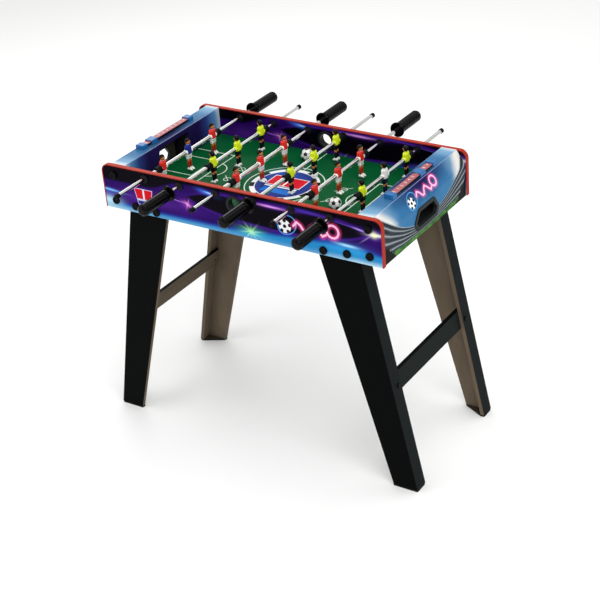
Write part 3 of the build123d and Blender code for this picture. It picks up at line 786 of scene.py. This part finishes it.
class Builder:
    """Collects closed shells in millimetres, each with a material slot."""

    def __init__(self):
        self.points = []
        self.faces = []
        self.slots = []

    def loft(self, rings, slot):
        """A closed shell through rings of points, capped at both ends."""
        start, count = len(self.points), len(rings[0])
        for one in rings:
            self.points.extend(one)
        for level in range(len(rings) - 1):
            low = start + level * count
            for k in range(count):
                after = (k + 1) % count
                self.faces.append((low + k, low + after, low + count + after, low + count + k))
        self.faces.append(tuple(range(start, start + count)))
        last = start + (len(rings) - 1) * count
        self.faces.append(tuple(range(last, last + count)))
        self.slots.extend([slot] * (len(self.faces) - len(self.slots)))

    def stack(self, levels, slot, count, x=0.0):
        """A closed shell through level ovals: height, half depth, half width and squareness."""
        self.loft([oval(x, z, half_x, half_y, count, power) for z, half_x, half_y, power in levels], slot)

    def made(self, name, materials):
        """The shells as one object."""
        draft = bpy.data.meshes.new(f"{name}_draft")
        draft.from_pydata([point * MM for point in self.points], [], self.faces)
        draft.polygons.foreach_set("material_index", self.slots)
        work = bmesh.new()
        work.from_mesh(draft)
        bpy.data.meshes.remove(draft)
        return finished(name, work, materials)


def oval(x, z, half_x, half_y, count, power):
    """A level ring of points. Power 2 is an ellipse, and a higher one squares it off."""
    points = []
    for k in range(count):
        c, s = cos(2 * pi * k / count), sin(2 * pi * k / count)
        along = half_x * copysign(abs(c) ** (2 / power), c)
        across = half_y * copysign(abs(s) ** (2 / power), s)
        points.append(Vector((x + along, across, z)))
    return points


def round_ring(centre, direction, radius, count):
    """A ring of points about a centre, square to a direction."""
    side = direction.orthogonal().normalized()
    up = direction.cross(side).normalized()
    turns = [2 * pi * k / count for k in range(count)]
    return [centre + radius * (cos(turn) * side + sin(turn) * up) for turn in turns]


def limb(path, radii, count=12, caps=3):
    """Rings round a path of points, with rounded ends."""
    path = [Vector(p) for p in path]
    last = len(path) - 1
    ways = [(path[min(k + 1, last)] - path[max(k - 1, 0)]).normalized() for k in range(last + 1)]
    cap_angles = [pi / 2 * (1 - (k + 0.35) / caps) for k in range(caps)]

    def cap_ring(end, outward, angle):
        centre = path[end] + ways[end] * (outward * radii[end] * sin(angle))
        return round_ring(centre, ways[end], radii[end] * cos(angle), count)

    rings = [cap_ring(0, -1, angle) for angle in cap_angles]
    rings += [round_ring(*step, count) for step in zip(path, ways, radii)]
    rings += [cap_ring(-1, 1, angle) for angle in reversed(cap_angles)]
    return rings


def ball_rings(centre, radii, levels, count, shape=None):
    """Rings of an ellipsoid about Z. shape(direction) scales it in each direction."""
    rings = []
    for level in range(1, levels):
        tilt = pi * level / levels
        one = []
        for k in range(count):
            turn = 2 * pi * k / count
            way = Vector((sin(tilt) * cos(turn), sin(tilt) * sin(turn), -cos(tilt)))
            scale = shape(way) if shape else 1.0
            one.append(Vector(centre) + Vector([w * r * scale for w, r in zip(way, radii)]))
        rings.append(one)
    return rings


# Player figures, facing +X, with the rod's axis through the origin along Y.
HEAD = (0.5, 0, 22.1)
HEAD_RADII = (6.2, 5.8, 7.0)
LEG_Y = 3.7
SOLE_Z = -43.4
TORSO = (
    (-6.5, 6.2, 8.3, 2.6), (-3, 6.5, 8.5, 2.6), (2, 6.3, 8.3, 2.5), (7, 6.2, 8.6, 2.4),
    (11, 5.8, 9.1, 2.4), (13.6, 5.0, 9.0, 2.3), (15.2, 3.7, 6.9, 2.2), (16.2, 2.8, 4.0, 2.0),
)
COLLAR = ((15.2, 3.3, 3.3, 2.0), (16.2, 3.3, 3.3, 2.0), (16.7, 2.8, 2.8, 2.0))
NECK = ((15, 2.6, 2.6, 2.0), (17, 2.6, 2.6, 2.0), (19, 2.6, 2.6, 2.0))
SEAT = ((-12, 4.6, 7.4, 2.5), (-9, 5.8, 8.2, 2.5), (-6, 6.4, 8.6, 2.5), (-4.6, 6.2, 8.4, 2.5))
# Each ring of a boot from heel to toe: place along X, half width and half height.
BOOT_POINTS = 14
BOOT = ((-3.9, 2.4, 2.4), (-1.2, 3.0, 3.8), (2.6, 3.1, 3.3), (6.4, 2.9, 2.2), (8.9, 1.7, 1.1))


def arm(man, side, shirt, skin):
    """A sleeve down to the elbow and a forearm held a little forward."""
    shoulder, elbow, hand = (0, side * 7.6, 12.2), (0.4, side * 8.0, 5.6), (2.2, side * 7.6, -1.5)
    man.loft(limb((shoulder, elbow), (2.7, 2.4)), shirt)
    man.loft(limb((elbow, hand), (1.9, 1.7)), skin)


def ear_and_brow(man, side, skin, hair):
    ear = (HEAD[0] - 0.3, side * 5.6, HEAD[2] - 0.8)
    man.loft(ball_rings(ear, (1.1, 0.6, 1.6), 6, 8), skin)
    brow = (HEAD[0] + 5.6, side * 2.1, HEAD[2] + 0.7)
    man.loft(ball_rings(brow, (0.5, 0.8, 0.35), 5, 8), hair)


def boot_ring(x, y, half_width, half_height):
    """An upright ring of points that stands on the sole."""
    turns = [2 * pi * k / BOOT_POINTS for k in range(BOOT_POINTS)]
    return [Vector((x, y + half_width * cos(t), SOLE_Z + half_height * (1 + sin(t)))) for t in turns]


def leg(man, side, shorts, skin, socks, boots):
    """A leg of the shorts, the knee, the sock and the boot."""
    y = side * LEG_Y
    thigh = ((0, side * 3.6, -7), (0.2, side * 3.8, -14.6))
    man.loft(limb(thigh, (4.5, 4.4), 16), shorts)
    man.loft(limb(((0.2, y, -13), (0.4, y, -20), (0.3, y, -25)), (3.2, 2.8, 2.7)), skin)
    man.loft(limb(((0.4, y, -23.4), (0, y, -29), (0.3, y, -37)), (2.9, 3.2, 2.4), 14), socks)
    man.loft([boot_ring(x, y, half_width, half_height) for x, half_width, half_height in BOOT], boots)


def figure(kit_slots):
    """One player. The slots are hair, skin, shirt, shorts, socks, boots and rod boss."""
    hair, skin, shirt, shorts, socks, boots, boss = kit_slots
    man = Builder()
    man.stack(TORSO, shirt, 24)
    man.stack(COLLAR, boss, 16, 0.3)
    man.stack(NECK, skin, 16, 0.3)
    man.loft(ball_rings(HEAD, HEAD_RADII, 14, 22, face_shape), skin)
    man.loft(ball_rings(HEAD, HEAD_RADII, 16, 28, hair_shape), hair)
    for side in (-1, 1):
        arm(man, side, shirt, skin)
        man.loft(limb(((0, side * 8.4, 0), (0, side * 9.6, 0)), (5.8, 5.8), 24, 1), boss)
        ear_and_brow(man, side, skin, hair)
        leg(man, side, shorts, skin, socks, boots)
    man.stack(SEAT, shorts, 24)
    return man


def face_shape(way):
    """A plain head: narrower chin, a small nose."""
    chin = 1 - 0.16 * max(0.0, -way.z) * (1 - max(0.0, way.x) * 0.4)
    nose = 0.13 * max(0.0, 1 - ((way.y / 0.16) ** 2 + ((way.z + 0.08) / 0.2) ** 2)) if way.x > 0 else 0
    return chin + nose


def hair_shape(way):
    """A short cap of hair: outside the head above the hairline and inside it below."""
    hairline = 0.3 + 0.1 * cos(3 * way.y) if way.x > 0.25 else -0.4 + 1.6 * max(0.0, way.x)
    over = (way.z - hairline) / 0.16
    waves = 0.012 * sin(11 * way.x + 3 * way.z) * sin(9 * way.y + 4)
    return 0.93 + 0.14 * min(1.0, max(0.0, over)) + waves


def kit_paint(name, colour):
    """Painted moulded plastic of the players: slight gloss, paint pooling and wear."""
    dark = sum(colour[:3]) < 0.3
    paint = Paint(name, gloss=0.12 if dark else 0.35)
    paint.ground(colour)
    deeper = tuple(level * 0.78 for level in colour[:3]) + (1.0,)
    paint.layer(paint.noise(5, detail=3).rises(0.55, 0.4) * 0.5, deeper)
    paint.vary_roughness(0.26, 0.42, paint.noise(3, detail=3))
    paint.bump(paint.noise(2.2, detail=2), 0.05)
    return paint.done()


KIT = {
    "hair": ink(14, 12, 12), "skin": ink(208, 124, 66), "red": ink(224, 44, 32),
    "yellow": ink(222, 240, 36), "blue": ink(34, 46, 136), "white": ink(242, 242, 238),
    "black": ink(18, 19, 24), "rust": ink(158, 46, 20), "navy": ink(22, 28, 62),
}
KIT_PAINT = {name: kit_paint(f"figure_{name}", colour) for name, colour in KIT.items()}
RED_TEAM = ("hair", "skin", "red", "white", "rust", "white", "white")
YELLOW_TEAM = ("hair", "skin", "yellow", "black", "black", "white", "yellow")
BLUE_KEEPER = ("hair", "skin", "blue", "white", "rust", "white", "white")
WHITE_KEEPER = ("hair", "skin", "white", "navy", "navy", "white", "white")


def player_kit(rod_number, row):
    """Odd rods are the red team's. The middle player of each outer rod is a goalkeeper."""
    if row == 0 and rod_number == 1:
        return BLUE_KEEPER
    if row == 0 and rod_number == 6:
        return WHITE_KEEPER
    return RED_TEAM if rod_number % 2 else YELLOW_TEAM


def rod_centre(number):
    """Centre of the middle player of a rod, half way between its bumpers."""
    low, high = box_mm(f"rod_{number}_bumpers")
    return Vector(((low.x + high.x) / 2, (low.y + high.y) / 2, ROD_HEIGHT))


def players():
    """All the figures, one object for each player."""
    for number in ROD_NUMBERS:
        centre = rod_centre(number)
        turn = Matrix.Rotation(0 if number % 2 else pi, 4, "Z")
        for row in (-1, 0, 1):
            kit = player_kit(number, row)
            names = sorted(set(kit))
            man = figure([names.index(part) for part in kit])
            spot = centre + Vector((0, row * PLAYER_SPACING, 0))
            man.points = [turn @ p + spot for p in man.points]
            piece = man.made(f"rod_{number}_player_{row + 2}", [KIT_PAINT[part] for part in names])
            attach(piece, f"rod_{number}")
            if row == 0:
                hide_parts(f"rod_{number}_players")


# Footballs: 12 black pentagons and 20 white hexagons with seams between them.
BALL_WHITE, BALL_BLACK, BALL_SEAM = range(3)      # material slots of a football
SEAM_WIDTH, SEAM_DEPTH = 0.022, 0.28              # as a share of the radius, and in millimetres
SEAM_AREA = 0.05                                  # faces below this area are seams


def football_panels():
    """A sphere of radius 1 cut into panels, with a material slot on each face."""
    work = bmesh.new()
    bmesh.ops.create_icosphere(work, subdivisions=1, radius=1)
    flat = {"segments": 1, "profile": 0.5, "clamp_overlap": False}
    third = 100 / 3
    bmesh.ops.bevel(work, geom=work.verts[:], offset=third, offset_type="PERCENT",
                    affect="VERTICES", **flat)
    bmesh.ops.bevel(work, geom=work.edges[:], offset=SEAM_WIDTH, offset_type="OFFSET",
                    affect="EDGES", **flat)
    for face in work.faces:
        sides = len(face.verts)
        face.material_index = BALL_BLACK if sides == 5 else BALL_WHITE
        if sides < 5 or face.calc_area() < SEAM_AREA:
            face.material_index = BALL_SEAM
    bmesh.ops.triangulate(work, faces=[f for f in work.faces if len(f.verts) > 4])
    for _ in range(3):
        bmesh.ops.subdivide_edges(work, edges=work.edges[:], cuts=1, use_grid_fill=True)
    return work


def football(number):
    """A football in place of a ball, with its seams sunk between the panels."""
    low, high = box_mm(f"ball_{number}")
    centre, radius = (low + high) / 2, (high.z - low.z) / 2
    work = football_panels()
    seam_points = {v for f in work.faces if f.material_index == BALL_SEAM for v in f.verts}
    panel_points = {v for f in work.faces if f.material_index != BALL_SEAM for v in f.verts}
    sunk_points = seam_points - panel_points
    for vert in work.verts:
        sunk = SEAM_DEPTH if vert in sunk_points else 0.0
        vert.co = (vert.co.normalized() * (radius - sunk) + centre) * MM
    white = plastic(f"football_white_{number}", ink(238, 238, 234), ink(214, 214, 208), (0.2, 0.34))
    black = plastic(f"football_black_{number}", ink(14, 14, 16), ink(44, 44, 46), (0.22, 0.38))
    seam = plastic(f"football_seam_{number}", ink(120, 120, 118), ink(90, 90, 90), (0.5, 0.7))
    piece = finished(f"football_{number}", work, (white, black, seam))
    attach(piece, f"ball_{number}")
    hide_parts(f"ball_{number}")


# Finishes on the CAD parts ------------------------------------------------------------------


def dress(material, *nodes):
    """Give a material to CAD nodes, in place of what they have."""
    for node in nodes:
        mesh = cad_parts[node].data
        mesh.materials.clear()
        mesh.materials.append(material)


BLACK_PLASTIC = plastic("black_plastic", ink(8, 9, 9), ink(17, 19, 19), gloss=0.06)
BUMPER_RUBBER = plastic("bumper_rubber", ink(15, 20, 20), ink(28, 34, 34), gloss=0.08)
GRIP_RUBBER = plastic("grip_rubber", ink(2, 2, 2), ink(6, 7, 7), (0.12, 0.22), 0.9, 0.012, 0.12)
BEZEL_PLASTIC = plastic("bezel_plastic", ink(25, 31, 31), ink(38, 44, 44), (0.35, 0.5), gloss=0.1)
TRAY_PLASTIC = plastic("tray_plastic", ink(20, 21, 21), ink(32, 33, 33), (0.45, 0.65), 0.9, 0.04, 0.06)
SCORER_BLUE = plastic("scorer_blue", ink(28, 96, 156), ink(44, 118, 178), (0.2, 0.35), gloss=0.3)
CHROME = chrome()


def rail_paint():
    """Black bar with a dusty pink label over the whole of its top."""
    paint = Paint("score_rail", gloss=0.15)
    high = box_mm("score_rails")[1]
    paint.ground(ink(12, 11, 14))
    label = paint.z.rises(high.z - 1.0, 0.1)
    paint.layer(label, ink(170, 98, 100))
    paint.layer(label * paint.noise(14, detail=3).rises(0.5, 0.4) * 0.5, ink(150, 78, 86))
    paint.vary_roughness(0.25, 0.4, paint.noise(8, detail=3))
    paint.bump(paint.noise(1.0), 0.01)
    return paint.done()


def foot_paint():
    """Black corner blocks under the legs, dusty brown on top."""
    paint = Paint("foot_block", gloss=0.05)
    paint.ground(ink(12, 12, 12))
    top = paint.z.rises(box_mm("leg_feet")[1].z - 0.3, 0.2)
    paint.layer(top, ink(66, 57, 48))
    paint.layer(paint.noise(4, detail=4).rises(0.55, 0.3) * 0.4, ink(34, 31, 28))
    paint.vary_roughness(0.45, 0.7, paint.noise(5, detail=3))
    paint.bump(paint.noise(0.8, detail=2), 0.03)
    return paint.done()


def numeral(digit, height):
    """The mesh of one raised numeral, lying flat about its middle."""
    text = bpy.data.curves.new(f"numeral_{digit}", "FONT")
    text.body = str(digit)
    text.size = height * MM
    text.align_x = "CENTER"
    text.align_y = "CENTER"
    text.extrude = 0.08 * MM
    text.resolution_u = 4
    shape = placed("numeral", text)
    bpy.context.view_layer.update()
    mesh = bpy.data.meshes.new_from_object(shape)
    bpy.data.objects.remove(shape)
    bpy.data.curves.remove(text)
    return mesh


def score_numbers(end, side):
    """White numerals 0 to 9 along a score rail, as thin raised print."""
    high = box_mm("score_rails")[1]
    middle_x = side * (high.x - 7.5)
    pitch, height, count = 15.5, 8.5, 10
    work = bmesh.new()
    for digit in range(count):
        mesh = numeral(digit, height)
        spot = Vector((middle_x, side * (digit - (count - 1) / 2) * pitch, high.z)) * MM
        mesh.transform(Matrix.Translation(spot) @ Matrix.Rotation(side * pi / 2, 4, "Z"))
        work.from_mesh(mesh)
        bpy.data.meshes.remove(mesh)
    bmesh.ops.remove_doubles(work, verts=work.verts[:], dist=1e-6)
    mesh = bpy.data.meshes.new(f"{end}_score_numbers")
    work.to_mesh(mesh)
    work.free()
    mesh.materials.append(plastic(f"{end}_numeral_ink", ink(240, 236, 238), ink(222, 206, 212)))
    piece = placed(f"{end}_score_numbers", mesh)
    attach(piece, "table")


dress(side_panel_paint("front_panel_print", -1), "front_side_panel")
dress(side_panel_paint("back_panel_print", 1), "back_side_panel")
dress(edge_band_paint(), "front_edge_band", "back_edge_band")
dress(field_paint(), "playing_field")
dress(goal_board_paint(), "left_goal_board", "right_goal_board")
dress(end_cover_paint(), "left_end_cover", "right_end_cover")
dress(TRAY_PLASTIC, "left_ball_tray", "right_ball_tray")
dress(BLACK_PLASTIC, "screw_caps", "brace_bolts")
dress(foot_paint(), "leg_feet")
dress(BEZEL_PLASTIC, "ball_return_bezels", "serve_hole_rings")
dress(BUMPER_RUBBER, "rod_bushings")
dress(rail_paint(), "score_rails")
dress(SCORER_BLUE, "score_brackets", "left_score_marker", "right_score_marker")
dress(zinc(), "panel_screws")
for end_name, end_side in ENDS:
    for side_name, side_sign in SIDES:
        leg_name = f"{side_name}_{end_name}_leg"
        dress(leg_paint(f"{leg_name}_board", end_side, side_sign), leg_name)
    dress(brace_paint(f"{end_name}_brace_board", end_side), f"{end_name}_leg_brace")
    score_numbers(end_name, end_side)
for rod_number in ROD_NUMBERS:
    dress(CHROME, f"rod_{rod_number}_shaft")
    dress(GRIP_RUBBER, f"rod_{rod_number}_handle")
    dress(BLACK_PLASTIC, f"rod_{rod_number}_end_cap")
    dress(BUMPER_RUBBER, f"rod_{rod_number}_bumpers")
players()
for ball_number in BALL_NUMBERS:
    football(ball_number)

# Stage, light and camera --------------------------------------------------------------------


def area_light(name, at, towards, size, watts, tint=(1, 1, 1)):
    """A square soft lamp, in metres, that the camera doesn't see."""
    lamp = bpy.data.lights.new(name, "AREA")
    lamp.size = size
    lamp.energy = watts
    lamp.color = tint
    holder = placed(name, lamp)
    holder.location = at
    holder.rotation_euler = (Vector(towards) - Vector(at)).to_track_quat("-Z", "Y").to_euler()
    holder.visible_camera = False


def stage():
    """A pale floor that runs out of view."""
    reach = 14.0
    corners = [(-reach, -reach, 0), (reach, -reach, 0), (reach, reach, 0), (-reach, reach, 0)]
    mesh = bpy.data.meshes.new("floor")
    mesh.from_pydata(corners, [], [(0, 1, 2, 3)])
    paint = Paint("pale_floor", roughness=0.9)
    paint.ground(ink(250, 250, 249))
    paint.layer(paint.noise(700, detail=2) * 0.3, ink(247, 247, 246))
    mesh.materials.append(paint.done())
    floor = placed("floor", mesh)


WALL_LIGHT, CEILING_LIGHT = 0.42, 0.8
WALL_TOP, CEILING_FROM = 0.05, 0.42   # heights in the sky, as the upward part of a direction


def studio_sky():
    """A bright soft ceiling that falls off towards the walls, which gives chrome its dark lines."""
    world = bpy.data.worlds.new("studio")
    bpy.context.scene.world = world
    world.use_nodes = True
    tree = world.node_tree
    coordinates = tree.nodes.new("ShaderNodeTexCoord")
    split = tree.nodes.new("ShaderNodeSeparateXYZ")
    tree.links.new(coordinates.outputs["Generated"], split.inputs[0])
    ramp = tree.nodes.new("ShaderNodeMapRange")
    ramp.interpolation_type = "SMOOTHSTEP"
    ramp.inputs["From Min"].default_value = WALL_TOP
    ramp.inputs["From Max"].default_value = CEILING_FROM
    ramp.inputs["To Min"].default_value = WALL_LIGHT
    ramp.inputs["To Max"].default_value = CEILING_LIGHT
    tree.links.new(split.outputs["Z"], ramp.inputs["Value"])
    background = tree.nodes["Background"]
    background.inputs["Color"].default_value = (1, 1, 1, 1)
    tree.links.new(ramp.outputs["Result"], background.inputs["Strength"])


CAMERA_AT = (1.6588, -2.3755, 1.9031)
CAMERA_YAW, CAMERA_PITCH, CAMERA_ROLL = 0.6054, 0.5106, -0.0835
LENS_MM = 89.54


def camera():
    """The viewing angle: a long lens from the front right, looking down, rolled slightly."""
    yaw, pitch, roll = CAMERA_YAW, CAMERA_PITCH, CAMERA_ROLL
    forward = Vector((-sin(yaw) * cos(pitch), cos(yaw) * cos(pitch), -sin(pitch)))
    level = Vector((cos(yaw), sin(yaw), 0))
    upright = level.cross(forward)
    right = level * cos(roll) + upright * sin(roll)
    up = upright * cos(roll) - level * sin(roll)
    lens = bpy.data.cameras.new("camera")
    lens.lens = LENS_MM
    lens.sensor_width = 36
    lens.clip_end = 60
    holder = placed("camera", lens)
    turn = Matrix((right, up, -forward)).transposed().to_4x4()
    holder.matrix_world = Matrix.Translation(CAMERA_AT) @ turn
    bpy.context.scene.camera = holder


stage()
studio_sky()
area_light("key", (2.2, -1.6, 3.2), (0, 0, 0.5), 2.2, 58)
area_light("fill", (-2.6, -2.6, 2.0), (0, 0, 0.4), 2.6, 26, (0.95, 0.97, 1))
area_light("top", (0, 0.6, 3.4), (0, 0, 0.5), 2.4, 26)
area_light("rim", (-1.9, 1.8, 1.7), (0, 0, 0.6), 1.1, 8)
camera()
bpy.context.scene.view_settings.view_transform = "Standard"
